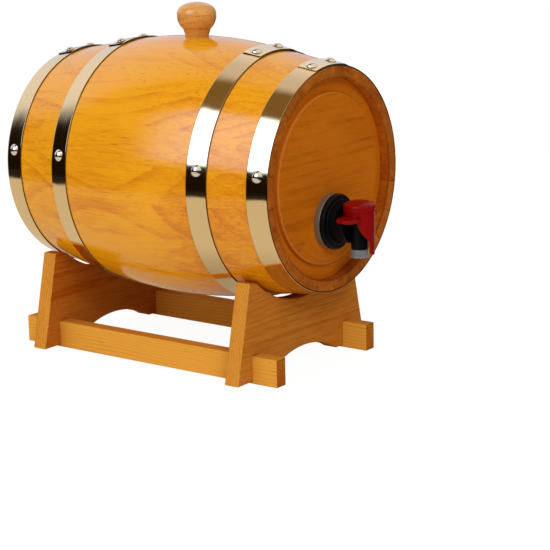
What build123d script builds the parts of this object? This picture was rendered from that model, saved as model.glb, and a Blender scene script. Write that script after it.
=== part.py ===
"""Table-top cask dispenser: a coopered barrel on a cradle stand, with a press tap and a lined inside.

The barrel lies along Y with the tap towards -Y, and the stand's rails rest on z = 0. Depths along the
barrel are counted from the front rim, and the whole model is then centred over the origin. Millimetres.
"""
from build123d import *
from math import asin, atan, atan2, cos, degrees, radians, sin, sqrt, tan
import os

# ---- barrel
BARREL_LENGTH = 240.6  # rim to rim
END_RADIUS = 80.0  # outside of the staves at a rim
BULGE_RADIUS = 95.8  # outside of the staves half-way
BELLY_HALF = 58.0  # half the length of the curved belly; the rest is conical
STAVE_THICKNESS = 8.5
STAVE_COUNT = 22
STAVE_TURN = 6.5  # degrees from the top to the middle of the first stave
RIM_CHAMFER = 1.2
AXIS_HEIGHT = 139.5  # barrel axis above the table

# ---- heads
HEAD_DEPTH = 8.5  # rim plane to the head's outer margin
HEAD_THICKNESS = 8.0
PANEL_RADIUS = 61.4  # raised middle of the head
PANEL_RISE = 4.0
PANEL_EDGE_ROUND = 1.0
CROZE_WIDTH = 4.0  # groove in the staves that holds the head
CROZE_DEPTH = 2.5
WOOD_FIT = 0.1
CUT = 1.0  # how far a cutting shape goes past what it cuts
BEYOND = 400.0  # more than any size of the barrel, for sectors and slabs

# ---- hoops and rivets
HOOP_THICKNESS = 0.8
CHIME_HOOP_WIDTH = 15.6
QUARTER_HOOP_WIDTH = 15.4
FRONT_QUARTER_DEPTH = 46.1  # rim to the near edge of the quarter hoop
REAR_QUARTER_DEPTH = 53.2
LAP_START = -10.0  # degrees from the top, towards -X
LAP_END = 14.6
RIVET_ANGLES = (10.5, -5.5, 80.3, -75.0)
RIVET_HEAD_RADIUS = 4.2
RIVET_HEAD_HEIGHT = 2.4
RIVET_SHANK_RADIUS = 1.4
RIVET_SHANK_DEPTH = 4.5  # below the hoop's outer face

# ---- bung
BUNG_HOLE_RADIUS = 8.8
BUNG_NECK_RADIUS = 8.5
BUNG_FLARE_RADIUS = 10.1
BUNG_KNOB_RADIUS = 14.4
BUNG_FLARE_RISE = 5.2  # above the top of the barrel
BUNG_KNOB_RISE = 14.9
BUNG_TOP_RISE = 24.7
BUNG_SHOULDER = 7.5  # rounding between the knob's side and its top
BUNG_PLUG_LENGTH = 12.0  # below the shoulder that rests on the filler
BUNG_PLUG_TAPER = 0.5
BUNG_GROOVE_DEPTH = 0.4
BUNG_CLEARANCE = 0.3

# ---- liner and its two glands
LINER_GAP = 1.5  # liner to the staves
LINER_THICKNESS = 0.5
GLAND_WALL = 1.9
GLAND_FLANGE_RADIUS = 23.0
GLAND_FLANGE_THICKNESS = 2.0
FILLER_WALL = 1.2
FILLER_FLANGE_RADIUS = 14.0
FILLER_FLANGE_GAP = 0.6  # flange to the liner above its edge
FILLER_DROP = 3.5  # top of the filler below the barrel's outside

# ---- tap ring in the front head
TAP_DROP = 30.2  # tap axis below the barrel axis
RING_RADIUS = 20.0
RING_SLEEVE_WALL = 1.3
RING_PROUD = 4.75  # ahead of the head's raised panel
RING_ROUND = 0.8

# ---- tap body
FLANGE_RADIUS = 20.0
FLANGE_THICKNESS = 3.4
FLANGE_GAP = 0.1
FLANGE_ROUND = 1.4
BOSS_RADIUS = 16.4
BOSS_RISE = 1.0
BOSS_ROUND = 0.6
DRUM_RADIUS = 14.0
DRUM_WALL = 1.8
DRUM_REACH = 11.95  # ahead of the flange
DRUM_ROUND = 1.5
DRUM_CLEARANCE = 0.5  # cut-away under the wings and round the button
SPIGOT_RADIUS = 13.93
SPIGOT_CLEARANCE = 0.07
SPIGOT_LENGTH = 19.25
SPIGOT_WALL = 2.4
VALVE_REACH = 17.15  # valve axis ahead of the flange
NOZZLE_RADIUS = 6.1
NOZZLE_WALL = 0.9
NOZZLE_END = -17.4  # below the tap axis
SEAT_HEIGHT = -8.0
SEAT_THICKNESS = 1.4
SEAT_HOLE_RADIUS = 3.4
TOWER_RADIUS = 8.8
TOWER_TOP = 9.3
TOWER_ROOT = 2.0  # how far the tower's wide part reaches below the wings
PORT_RADIUS = 3.4
PORT_DROP = 2.0  # below the tap axis
SEAL_SECTION = 1.2
SEAL_PLACE = 13.25  # behind the flange

# ---- nozzle insert
INSERT_RADIUS = 6.2
INSERT_LIP_RADIUS = 6.8
INSERT_LIP_HEIGHT = 1.5
INSERT_LIP_SLOPE = 0.4
INSERT_DROP = 5.8
INSERT_WALL = 0.9
INSERT_SLEEVE = 2.6

# ---- grip collar with finger wings and front shield; heights are from the tap axis
GRIP_TURN = 8.0  # degrees, the collar's turn on its tower
WING_UNDERSIDE = 4.1
WING_THICKNESS = 2.5
WING_SPAN = 46.0
WING_DEPTH = 16.0
WING_SETBACK = 1.8  # middle of the wings behind the valve axis
WING_CORNER = 7.5
WING_ROUND = 0.8
COLLAR_RADIUS = 10.9
COLLAR_FIT = 0.05
SHIELD_WALL = 1.3
SHIELD_TOP = 10.2
SHIELD_HALF_WIDTH = 9.2
SHIELD_SIDE_END = 0.6  # where its sides start to narrow
SHIELD_WAIST = 5.3
SHIELD_WAIST_HEIGHT = -9.0
SHIELD_LEAN = 0.15  # slope of its sides where they start to narrow
TAIL_HALF_WIDTH = 2.8
TAIL_TOP = -12.4
TAIL_END = -20.9

# ---- button, stem and diaphragm
BUTTON_RADIUS = 11.7
BUTTON_CLEARANCE = 0.2
BUTTON_LIP = 10.4
BUTTON_SKIRT_INSET = 0.15  # skirt inside the cap's widest part
BUTTON_BAND = 1.0  # height of the widest part
BUTTON_RIM = 13.4
BUTTON_DOME = 4.2
BUTTON_BROW = 2.0  # rounding between the side and the dome
BUTTON_ROOF = 3.2  # thickness in the middle
BUTTON_TRAVEL = 3.0
BUTTON_STOP_GAP = 0.1  # roof to the collar when pressed
STEM_RADIUS = 1.6
STEM_SOCKET = 1.0  # stem's depth in the button's roof
POPPET_RADIUS = 4.4
POPPET_THICKNESS = 1.6
POPPET_SEAL_THICKNESS = 0.8
DIAPHRAGM_THICKNESS = 1.3
DIAPHRAGM_SEAT = 6.4
DIAPHRAGM_RIM = 1.5  # height of its upright edge
DIAPHRAGM_CROWN = 1.6  # width of its flat top round the stem
DIAPHRAGM_GAP = 0.05

# ---- stand
BOARD_THICKNESS = 12.2
BOARD_SPLAY = 16.3  # how far a board's foot stands out past its horn
BOARD_LIFT = 1.8  # board undersides above the table
FRONT_BOARD_INSET = 28.8  # front rim to the front board's outer face
REAR_BOARD_INSET = 16.3  # rear rim to the rear board's outer face
CRADLE_GAP = 0.3  # barrel to each horn's shoulder, where it bears
SEAT_RELIEF = 1.8  # barrel to the bottom of the seat, which it clears
SEAT_HALF_ANGLE = 40.3  # from straight down to a horn's shoulder, about the barrel axis
HORN_LAND = 7.0  # width of the flat on top of each horn
SHOULDER_ROUND = 11.0
ARCH_HEIGHT = 12.0
ARCH_FOOT = 8.8  # width that stays between the arch and a rail
RAIL_WIDTH = 10.9
RAIL_HEIGHT = 20.1
RAIL_INSET = 17.5  # corner of a board's foot to a rail
RAIL_FRONT_OVERHANG = 20.6  # rail ends past the boards
RAIL_REAR_OVERHANG = 21.8
RAIL_ROUND = 0.8

# ---- worked out from the sizes above
MIDDLE = BARREL_LENGTH / 2
TAP_HEIGHT = AXIS_HEIGHT - TAP_DROP
BARREL_TOP = AXIS_HEIGHT + BULGE_RADIUS
PANEL_DEPTH = HEAD_DEPTH - PANEL_RISE
CROZE_MIDDLE = HEAD_DEPTH + HEAD_THICKNESS / 2
FILLER_TOP = BARREL_TOP - FILLER_DROP
FILLER_NECK_RADIUS = BUNG_HOLE_RADIUS - WOOD_FIT
FILLER_BORE = FILLER_NECK_RADIUS - FILLER_WALL
RING_FACE = PANEL_DEPTH - RING_PROUD
FLANGE_BACK = RING_FACE - FLANGE_GAP
FLANGE_FACE = FLANGE_BACK - FLANGE_THICKNESS
DRUM_FRONT = FLANGE_FACE - DRUM_REACH
VALVE_DEPTH = FLANGE_FACE - VALVE_REACH
GLAND_BORE = SPIGOT_RADIUS + SPIGOT_CLEARANCE
GLAND_RADIUS = GLAND_BORE + GLAND_WALL
RING_BORE = GLAND_RADIUS + WOOD_FIT
HEAD_HOLE_RADIUS = RING_BORE + RING_SLEEVE_WALL
HEAD_BACK = HEAD_DEPTH + HEAD_THICKNESS
LINER_FRONT = HEAD_BACK + GLAND_FLANGE_THICKNESS / 2
LINER_END = BARREL_LENGTH - LINER_FRONT
NOZZLE_BORE = NOZZLE_RADIUS - NOZZLE_WALL
INSERT_BORE = NOZZLE_BORE - INSERT_WALL
BUTTON_BORE = COLLAR_RADIUS + BUTTON_CLEARANCE
BUTTON_CEILING = BUTTON_RIM + BUTTON_DOME - BUTTON_ROOF
COLLAR_TOP = BUTTON_CEILING - BUTTON_TRAVEL - BUTTON_STOP_GAP
FRONT_REACH = VALVE_DEPTH - BUTTON_RADIUS
REAR_BOARD_FACE = BARREL_LENGTH - REAR_BOARD_INSET - BOARD_THICKNESS
RAIL_FRONT = FRONT_BOARD_INSET - RAIL_FRONT_OVERHANG
RAIL_REAR = BARREL_LENGTH - REAR_BOARD_INSET + RAIL_REAR_OVERHANG
CENTRE_DEPTH = (FRONT_REACH + RAIL_REAR) / 2  # depth that lies over the origin


def taper_angle():
    """Slope of the conical ends that brings the curved belly tangent to them at the bulge radius."""
    rise = BULGE_RADIUS - END_RADIUS
    cone = MIDDLE - BELLY_HALF
    slope = atan(rise / MIDDLE)
    for _ in range(30):
        slope = atan((rise - BELLY_HALF * tan(slope / 2)) / cone)
    return slope


TAPER = taper_angle()


def radius_at(depth):
    """Outside radius of the staves at a depth from the front rim."""
    from_middle = abs(depth - MIDDLE)
    if from_middle >= BELLY_HALF:
        return END_RADIUS + (MIDDLE - from_middle) * tan(TAPER)
    belly_radius = BELLY_HALF / sin(TAPER)
    return BULGE_RADIUS - belly_radius + sqrt(belly_radius**2 - from_middle**2)


def turned(profile, height=AXIS_HEIGHT):
    """Solid of revolution about the line along Y at a height; the profile is (radius, depth) on XY."""
    return Pos(0, 0, height) * revolve(profile, Axis.Y, 360)


def barrel_form(grow=0.0, start=0.0, end=BARREL_LENGTH):
    """The barrel's full round outline, grown radially, between two depths."""
    cone = MIDDLE - BELLY_HALF
    left = [(radius_at(0) + grow, 0), (radius_at(cone) + grow, cone)]
    right = [(radius_at(cone) + grow, BARREL_LENGTH - cone), (radius_at(0) + grow, BARREL_LENGTH)]
    outline = Polyline((0, 0), *left)
    outline += ThreePointArc(left[-1], (BULGE_RADIUS + grow, MIDDLE), right[0])
    outline += Polyline(*right, (0, BARREL_LENGTH), (0, 0))
    form = turned(make_face(outline))
    span = Pos(0, (start + end) / 2, AXIS_HEIGHT) * Box(BEYOND, end - start, BEYOND)
    return form & span


def rod(radius, start, end, height):
    """Cylinder along Y on the plane x = 0 between two depths."""
    return Pos(0, (start + end) / 2, height) * Rot(90, 0, 0) * Cylinder(radius, end - start)


def post(radius, low, high, depth):
    """Vertical cylinder on the plane x = 0 between two heights."""
    return Pos(0, depth, (low + high) / 2) * Cylinder(radius, high - low)


def turned_post(points, depth):
    """Vertical solid of revolution from (radius, height) corners."""
    outline = Polyline(*points, points[0])
    return Pos(0, depth, 0) * revolve(Plane.XZ * make_face(outline), Axis.Z, 360)


def dome(radius, low, high, shoulder):
    """Two tangent arcs, from an upright side at (radius, low) over to a level middle at (0, high)."""
    rise = high - low
    crown = ((radius - shoulder) ** 2 + rise**2 - shoulder**2) / (2 * (rise - shoulder))
    lean = atan2(radius - shoulder, crown - rise)
    joint = (crown * sin(lean), high - crown + crown * cos(lean))
    return TangentArc((radius, low), joint, tangent=(0, 1)) + TangentArc((0, high), joint, tangent=(1, 0))


def at_angle(angle, radius, depth):
    """Place on the barrel: +Z points outwards at an angle from the top, positive towards -X."""
    return Pos(0, depth, AXIS_HEIGHT) * Rot(0, -angle, 0) * Pos(0, 0, radius)


# ---- hoops: each is (near edge, far edge) in depth from the front rim
HOOPS = {
    "front_chime_hoop": (0.0, CHIME_HOOP_WIDTH),
    "front_quarter_hoop": (FRONT_QUARTER_DEPTH, FRONT_QUARTER_DEPTH + QUARTER_HOOP_WIDTH),
    "rear_quarter_hoop": (
        BARREL_LENGTH - REAR_QUARTER_DEPTH - QUARTER_HOOP_WIDTH,
        BARREL_LENGTH - REAR_QUARTER_DEPTH,
    ),
    "rear_chime_hoop": (BARREL_LENGTH - CHIME_HOOP_WIDTH, BARREL_LENGTH),
}


def wedge(start, end):
    """Tall sector about the barrel axis between two angles from the top."""
    a, b = radians(start), radians(end)
    corners = [(0, 0), (-BEYOND * sin(a), BEYOND * cos(a)), (-BEYOND * sin(b), BEYOND * cos(b))]
    face = Plane.XZ * make_face(Polyline(*corners, corners[0]))
    return Pos(0, MIDDLE + BEYOND / 2, AXIS_HEIGHT) * extrude(face, BEYOND)


def rivet_place(angle, edges):
    """Seat of a rivet: the middle of the hoop's width, on its outer layer, square to the surface."""
    depth = sum(edges) / 2
    layers = 2 if LAP_START < angle < LAP_END else 1
    lean = degrees(TAPER) if depth < MIDDLE else -degrees(TAPER)
    seat = at_angle(angle, radius_at(depth) + layers * HOOP_THICKNESS, depth)
    return seat * Rot(lean, 0, 0)


def rivet(angle, edges):
    """Domed head with a plain shank that goes through the hoop into the stave."""
    curve = (RIVET_HEAD_RADIUS**2 + RIVET_HEAD_HEIGHT**2) / (2 * RIVET_HEAD_HEIGHT)
    rise = RIVET_HEAD_HEIGHT - curve
    turn = asin(RIVET_HEAD_RADIUS / curve) / 2
    crown = (curve * sin(turn), rise + curve * cos(turn))
    section = ThreePointArc((RIVET_HEAD_RADIUS, 0), crown, (0, RIVET_HEAD_HEIGHT))
    section += Polyline(
        (0, RIVET_HEAD_HEIGHT), (0, -RIVET_SHANK_DEPTH), (RIVET_SHANK_RADIUS, -RIVET_SHANK_DEPTH),
        (RIVET_SHANK_RADIUS, 0), (RIVET_HEAD_RADIUS, 0),
    )
    solid = revolve(Plane.XZ * make_face(section), Axis.Z, 360)
    return rivet_place(angle, edges) * solid


def shank_holes(edges):
    """Cylinders that clear the shanks of one hoop's rivets."""
    hole = Cylinder(RIVET_SHANK_RADIUS, 2 * RIVET_SHANK_DEPTH)
    return [rivet_place(angle, edges) * hole for angle in RIVET_ANGLES]


def hoop(edges):
    """Metal strip round the staves, with its outer end lapped over its inner end."""
    start, end = edges
    ring = barrel_form(HOOP_THICKNESS, start, end) - barrel_form(0.0, start, end)
    lap = barrel_form(2 * HOOP_THICKNESS, start, end) - barrel_form(HOOP_THICKNESS, start, end)
    strip = ring + (lap & wedge(LAP_START, LAP_END))
    for hole in shank_holes(edges):
        strip -= hole
    return strip


# ---- staves and heads
def croze(depth):
    """Ring cut into the staves where a head's edge sits."""
    reach = radius_at(depth) - STAVE_THICKNESS + CROZE_DEPTH
    return rod(reach, depth - CROZE_WIDTH / 2, depth + CROZE_WIDTH / 2, AXIS_HEIGHT)


def stave_shell():
    """All the staves as one ring, with crozes, chamfered rims and the holes that pass through it."""
    shell = barrel_form() - barrel_form(-STAVE_THICKNESS)
    inner = END_RADIUS - STAVE_THICKNESS
    for rim, inwards in ((0.0, 1), (BARREL_LENGTH, -1)):
        outside, inside = rim - inwards * CUT, rim + inwards * RIM_CHAMFER
        mouth = [(0, outside), (inner + RIM_CHAMFER + CUT, outside), (inner, inside), (0, inside)]
        shell -= turned(make_face(Polyline(*mouth, mouth[0])))
    shell -= croze(CROZE_MIDDLE)
    shell -= croze(BARREL_LENGTH - CROZE_MIDDLE)
    shell -= post(BUNG_HOLE_RADIUS, AXIS_HEIGHT, AXIS_HEIGHT + 2 * BULGE_RADIUS, MIDDLE)
    for edges in HOOPS.values():
        for hole in shank_holes(edges):
            shell -= hole
    return shell


def staves():
    """Each stave is one sector of the ring."""
    shell = stave_shell()
    step = 360 / STAVE_COUNT
    for number in range(STAVE_COUNT):
        middle = STAVE_TURN + number * step
        yield f"stave_{number + 1:02d}", shell & wedge(middle - step / 2, middle + step / 2)


def head():
    """Turned disc with a raised middle, its edge thinned to fit the croze."""
    margin = radius_at(HEAD_DEPTH) - STAVE_THICKNESS - WOOD_FIT
    edge = radius_at(CROZE_MIDDLE) - STAVE_THICKNESS + CROZE_DEPTH - WOOD_FIT
    groove_front = CROZE_MIDDLE - CROZE_WIDTH / 2 + WOOD_FIT / 2
    groove_back = CROZE_MIDDLE + CROZE_WIDTH / 2 - WOOD_FIT / 2
    corners = [
        (0, PANEL_DEPTH), (PANEL_RADIUS, PANEL_DEPTH), (PANEL_RADIUS, HEAD_DEPTH), (margin, HEAD_DEPTH),
        (margin, groove_front), (edge, groove_front), (edge, groove_back), (margin, groove_back),
        (margin, HEAD_BACK), (0, HEAD_BACK),
    ]
    disc = turned(make_face(Polyline(*corners, corners[0])))
    rim = disc.edges().filter_by(GeomType.CIRCLE).filter_by(
        lambda e: abs(e.radius - PANEL_RADIUS) < 0.01 and abs(e.center().Y - PANEL_DEPTH) < 0.01
    )
    return fillet(rim, PANEL_EDGE_ROUND)


def front_head():
    """The head with the hole for the tap."""
    return head() - rod(HEAD_HOLE_RADIUS, PANEL_DEPTH - CUT, HEAD_BACK + CUT, TAP_HEIGHT)


def rear_head():
    """The same disc, facing backwards and without a hole."""
    return mirror(head(), Plane.XZ.offset(-MIDDLE))


# ---- bung
def bung():
    """Turned knob with a shank that plugs the filler."""
    plug = FILLER_BORE - BUNG_CLEARANCE
    foot = FILLER_TOP - BUNG_PLUG_LENGTH
    flare = (BUNG_FLARE_RADIUS, BARREL_TOP + BUNG_FLARE_RISE)
    knob = BARREL_TOP + BUNG_KNOB_RISE
    top = BARREL_TOP + BUNG_TOP_RISE
    outline = Polyline(
        (0, top), (0, foot), (plug - BUNG_PLUG_TAPER, foot), (plug, FILLER_TOP),
        (BUNG_NECK_RADIUS, FILLER_TOP), (BUNG_NECK_RADIUS, BARREL_TOP), flare,
    )
    outline += TangentArc((BUNG_KNOB_RADIUS, knob), flare, tangent=(0, -1))
    brow = knob + 2 * BUNG_GROOVE_DEPTH
    outline += Polyline(
        (BUNG_KNOB_RADIUS, knob), (BUNG_KNOB_RADIUS - BUNG_GROOVE_DEPTH, knob + BUNG_GROOVE_DEPTH),
        (BUNG_KNOB_RADIUS, brow),
    )
    outline += dome(BUNG_KNOB_RADIUS, brow, top, BUNG_SHOULDER)
    return Pos(0, MIDDLE, 0) * revolve(Plane.XZ * make_face(outline), Axis.Z, 360)


# ---- liner and glands
def foil_liner():
    """Thin bag that fills the barrel, holed where the two glands pass."""
    outside = barrel_form(-STAVE_THICKNESS - LINER_GAP, LINER_FRONT, LINER_END)
    inside = barrel_form(
        -STAVE_THICKNESS - LINER_GAP - LINER_THICKNESS,
        LINER_FRONT + LINER_THICKNESS,
        LINER_END - LINER_THICKNESS,
    )
    bag = outside - inside
    bag -= rod(GLAND_RADIUS, LINER_FRONT - CUT, LINER_FRONT + LINER_THICKNESS + CUT, TAP_HEIGHT)
    return bag - post(FILLER_NECK_RADIUS, AXIS_HEIGHT, BARREL_TOP, MIDDLE)


def tap_gland():
    """Flanged spout behind the liner's front, which the tap pushes into."""
    flange = LINER_FRONT + LINER_THICKNESS
    spout = rod(GLAND_RADIUS, FLANGE_BACK + 2 * FLANGE_GAP, flange, TAP_HEIGHT)
    spout += rod(GLAND_FLANGE_RADIUS, flange, flange + GLAND_FLANGE_THICKNESS, TAP_HEIGHT)
    return spout - rod(GLAND_BORE, FLANGE_BACK - CUT, flange + GLAND_FLANGE_THICKNESS + CUT, TAP_HEIGHT)


def filler_gland():
    """Flanged neck under the bung hole, inside the liner."""
    roof = BARREL_TOP - STAVE_THICKNESS - LINER_GAP - LINER_THICKNESS
    low = AXIS_HEIGHT + sqrt((roof - AXIS_HEIGHT) ** 2 - FILLER_FLANGE_RADIUS**2)
    flange_top = low - FILLER_FLANGE_GAP
    neck = post(FILLER_NECK_RADIUS, flange_top - GLAND_FLANGE_THICKNESS, FILLER_TOP, MIDDLE)
    neck += post(FILLER_FLANGE_RADIUS, flange_top - GLAND_FLANGE_THICKNESS, flange_top, MIDDLE)
    return neck - post(FILLER_BORE, AXIS_HEIGHT, BARREL_TOP, MIDDLE)


def tap_ring():
    """Metal bush in the front head: a flange against the panel and a sleeve through the hole."""
    ring = rod(RING_RADIUS, RING_FACE, PANEL_DEPTH, TAP_HEIGHT)
    ring = fillet(ring.edges().group_by(Axis.Y)[0], RING_ROUND)
    ring += rod(HEAD_HOLE_RADIUS - WOOD_FIT / 2, PANEL_DEPTH, HEAD_BACK, TAP_HEIGHT)
    return ring - rod(RING_BORE, RING_FACE - CUT, HEAD_BACK + CUT, TAP_HEIGHT)


# ---- tap
def tap_body():
    """Flange, horizontal drum and upright valve tower in one moulding, with its passages."""
    spigot_end = FLANGE_BACK + SPIGOT_LENGTH
    wings_low = TAP_HEIGHT + WING_UNDERSIDE
    flange = rod(FLANGE_RADIUS, FLANGE_FACE, FLANGE_BACK, TAP_HEIGHT)
    flange = fillet(flange.edges().group_by(Axis.Y)[0], FLANGE_ROUND)
    boss = rod(BOSS_RADIUS, FLANGE_FACE - BOSS_RISE, FLANGE_FACE, TAP_HEIGHT)
    boss = fillet(boss.edges().group_by(Axis.Y)[0], BOSS_ROUND)
    drum = rod(DRUM_RADIUS, DRUM_FRONT, FLANGE_FACE, TAP_HEIGHT)
    drum = fillet(drum.edges().group_by(Axis.Y)[0], DRUM_ROUND) - wing_space()
    tower = post(NOZZLE_RADIUS, TAP_HEIGHT + NOZZLE_END, wings_low, VALVE_DEPTH)
    tower += post(TOWER_RADIUS, wings_low - TOWER_ROOT, TAP_HEIGHT + TOWER_TOP, VALVE_DEPTH)
    solid = flange + boss + drum + tower
    solid += rod(SPIGOT_RADIUS, FLANGE_BACK, spigot_end, TAP_HEIGHT)
    # horizontal passage, the port into the tower, and the chambers above and below the seat
    solid -= rod(SPIGOT_RADIUS - SPIGOT_WALL, FLANGE_FACE - BOSS_RISE, spigot_end + CUT, TAP_HEIGHT)
    low_passage = rod(SPIGOT_RADIUS - SPIGOT_WALL, DRUM_FRONT + DRUM_WALL, FLANGE_FACE, TAP_HEIGHT)
    under_wings = Pos(0, FLANGE_FACE, wings_low - DRUM_WALL - FLANGE_RADIUS)
    solid -= low_passage & (under_wings * Box(BEYOND, BEYOND, 2 * FLANGE_RADIUS))
    solid -= rod(PORT_RADIUS, VALVE_DEPTH, DRUM_FRONT + DRUM_WALL + CUT, TAP_HEIGHT - PORT_DROP)
    seat_top = TAP_HEIGHT + SEAT_HEIGHT
    solid -= post(NOZZLE_BORE, seat_top, wings_low, VALVE_DEPTH)
    solid -= post(TOWER_RADIUS - DRUM_WALL, wings_low, TAP_HEIGHT + TOWER_TOP + CUT, VALVE_DEPTH)
    solid -= post(SEAT_HOLE_RADIUS, seat_top - SEAT_THICKNESS - CUT, seat_top + CUT, VALVE_DEPTH)
    solid -= post(NOZZLE_BORE, TAP_HEIGHT + NOZZLE_END - CUT, seat_top - SEAT_THICKNESS, VALVE_DEPTH)
    return solid - seal_ring()


def wing_space():
    """Room cut out of the drum for the wings and the button above them."""
    low = TAP_HEIGHT + WING_UNDERSIDE
    turn = radians(GRIP_TURN)
    reach = (WING_DEPTH / 2 + WING_SETBACK) / cos(turn) + DRUM_RADIUS * tan(turn) + DRUM_CLEARANCE
    room = Box(4 * DRUM_RADIUS, 2 * (DRUM_RADIUS + reach), 2 * DRUM_RADIUS)
    room = Pos(0, VALVE_DEPTH - DRUM_RADIUS, low + DRUM_RADIUS) * room
    return room + post(BUTTON_RADIUS + DRUM_CLEARANCE, low, low + 2 * DRUM_RADIUS, VALVE_DEPTH)


def seal_ring():
    """Square-section ring let into the spigot."""
    place = FLANGE_BACK + SEAL_PLACE
    ring = rod(SPIGOT_RADIUS, place, place + SEAL_SECTION, TAP_HEIGHT)
    return ring - rod(SPIGOT_RADIUS - SEAL_SECTION, place - CUT, place + SEAL_SECTION + CUT, TAP_HEIGHT)


def nozzle_insert():
    """Clear collar that finishes the nozzle, held by a sleeve inside it."""
    top = TAP_HEIGHT + NOZZLE_END
    bottom = top - INSERT_DROP
    lip = bottom + INSERT_LIP_HEIGHT
    corners = [
        (INSERT_BORE, bottom), (INSERT_LIP_RADIUS, bottom), (INSERT_LIP_RADIUS, lip),
        (INSERT_RADIUS, lip + INSERT_LIP_SLOPE), (INSERT_RADIUS, top), (NOZZLE_BORE, top),
        (NOZZLE_BORE, top + INSERT_SLEEVE), (INSERT_BORE, top + INSERT_SLEEVE),
    ]
    return turned_post(corners, VALVE_DEPTH)


def shield():
    """Curved front shield that narrows to a tail, about an upright valve axis through the origin."""
    rounded = post(COLLAR_RADIUS, TAIL_END, SHIELD_TOP, 0)
    rounded -= post(COLLAR_RADIUS - SHIELD_WALL, TAIL_END - CUT, SHIELD_TOP + CUT, 0)
    side_end = (SHIELD_HALF_WIDTH, SHIELD_SIDE_END)
    side = Polyline((0, SHIELD_TOP), (SHIELD_HALF_WIDTH, SHIELD_TOP), side_end)
    side += Spline(
        side_end, (SHIELD_WAIST, SHIELD_WAIST_HEIGHT), (TAIL_HALF_WIDTH, TAIL_TOP),
        tangents=[(-SHIELD_LEAN, -1), (-SHIELD_LEAN, -1)],
    )
    foot = TAIL_END + TAIL_HALF_WIDTH
    side += Line((TAIL_HALF_WIDTH, TAIL_TOP), (TAIL_HALF_WIDTH, foot))
    side += TangentArc((TAIL_HALF_WIDTH, foot), (0, TAIL_END), tangent=(0, -1))
    side += Line((0, TAIL_END), (0, SHIELD_TOP))
    half = extrude(Plane.XZ * make_face(side), 2 * COLLAR_RADIUS)
    return rounded & (half + mirror(half, Plane.YZ))


def grip_collar():
    """Collar on the tower, with a finger wing on each side and the shield in front."""
    plate = extrude(RectangleRounded(WING_SPAN, WING_DEPTH, WING_CORNER), WING_THICKNESS)
    plate = Pos(0, WING_SETBACK, WING_UNDERSIDE) * fillet(plate.edges().filter_by(Plane.XY), WING_ROUND)
    solid = plate + post(COLLAR_RADIUS, WING_UNDERSIDE, COLLAR_TOP, 0) + shield()
    solid -= post(TOWER_RADIUS + COLLAR_FIT, WING_UNDERSIDE - CUT, COLLAR_TOP + CUT, 0)
    return Pos(0, VALVE_DEPTH, TAP_HEIGHT) * Rot(0, 0, GRIP_TURN) * solid


def button():
    """Domed cap that slides down over the collar."""
    lip, rim = TAP_HEIGHT + BUTTON_LIP, TAP_HEIGHT + BUTTON_RIM
    roof = TAP_HEIGHT + BUTTON_CEILING
    skirt = BUTTON_RADIUS - BUTTON_SKIRT_INSET
    outline = Polyline(
        (BUTTON_BORE, lip), (skirt, lip), (skirt, rim - BUTTON_BAND - BUTTON_SKIRT_INSET),
        (BUTTON_RADIUS, rim - BUTTON_BAND), (BUTTON_RADIUS, rim),
    )
    outline += dome(BUTTON_RADIUS, rim, rim + BUTTON_DOME, BUTTON_BROW)
    outline += Polyline((0, rim + BUTTON_DOME), (0, roof), (BUTTON_BORE, roof), (BUTTON_BORE, lip))
    cap = Pos(0, VALVE_DEPTH, 0) * revolve(Plane.XZ * make_face(outline), Axis.Z, 360)
    return cap - post(STEM_RADIUS, roof - CUT, roof + STEM_SOCKET, VALVE_DEPTH)


def valve_stem():
    """Rod from the button to the poppet under the seat."""
    top = TAP_HEIGHT + BUTTON_CEILING + STEM_SOCKET
    under_seat = TAP_HEIGHT + SEAT_HEIGHT - SEAT_THICKNESS - POPPET_SEAL_THICKNESS
    stem = post(STEM_RADIUS, under_seat, top, VALVE_DEPTH)
    return stem + post(POPPET_RADIUS, under_seat - POPPET_THICKNESS, under_seat, VALVE_DEPTH)


def poppet_seal():
    """Soft washer between the poppet and the seat."""
    top = TAP_HEIGHT + SEAT_HEIGHT - SEAT_THICKNESS
    washer = post(POPPET_RADIUS, top - POPPET_SEAL_THICKNESS, top, VALVE_DEPTH)
    return washer - post(STEM_RADIUS, top - POPPET_SEAL_THICKNESS - CUT, top + CUT, VALVE_DEPTH)


def return_diaphragm():
    """Elastic dome that closes the tower's top and pushes the button back up."""
    foot = TAP_HEIGHT + DIAPHRAGM_SEAT
    rim = TOWER_RADIUS - DRUM_WALL - DIAPHRAGM_GAP
    crown = TAP_HEIGHT + BUTTON_CEILING - BUTTON_STOP_GAP
    neck = STEM_RADIUS + DIAPHRAGM_GAP
    corners = [
        (rim, foot), (rim, foot + DIAPHRAGM_RIM), (neck + DIAPHRAGM_CROWN, crown), (neck, crown),
        (neck, crown - DIAPHRAGM_THICKNESS), (rim - DIAPHRAGM_THICKNESS, foot),
    ]
    return turned_post(corners, VALVE_DEPTH)


# ---- stand
def widest_at(front_face):
    """Barrel radius where it is widest within a board."""
    return max(radius_at(front_face), radius_at(front_face + BOARD_THICKNESS))


BEARING_RADIUS = widest_at(FRONT_BOARD_INSET) + CRADLE_GAP
HORN_TOP = AXIS_HEIGHT - BEARING_RADIUS * cos(radians(SEAT_HALF_ANGLE))
HORN_OUTSIDE = BEARING_RADIUS * sin(radians(SEAT_HALF_ANGLE)) + HORN_LAND
FOOT_OUTSIDE = HORN_OUTSIDE + BOARD_SPLAY
RAIL_OUTSIDE = FOOT_OUTSIDE - RAIL_INSET


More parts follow.
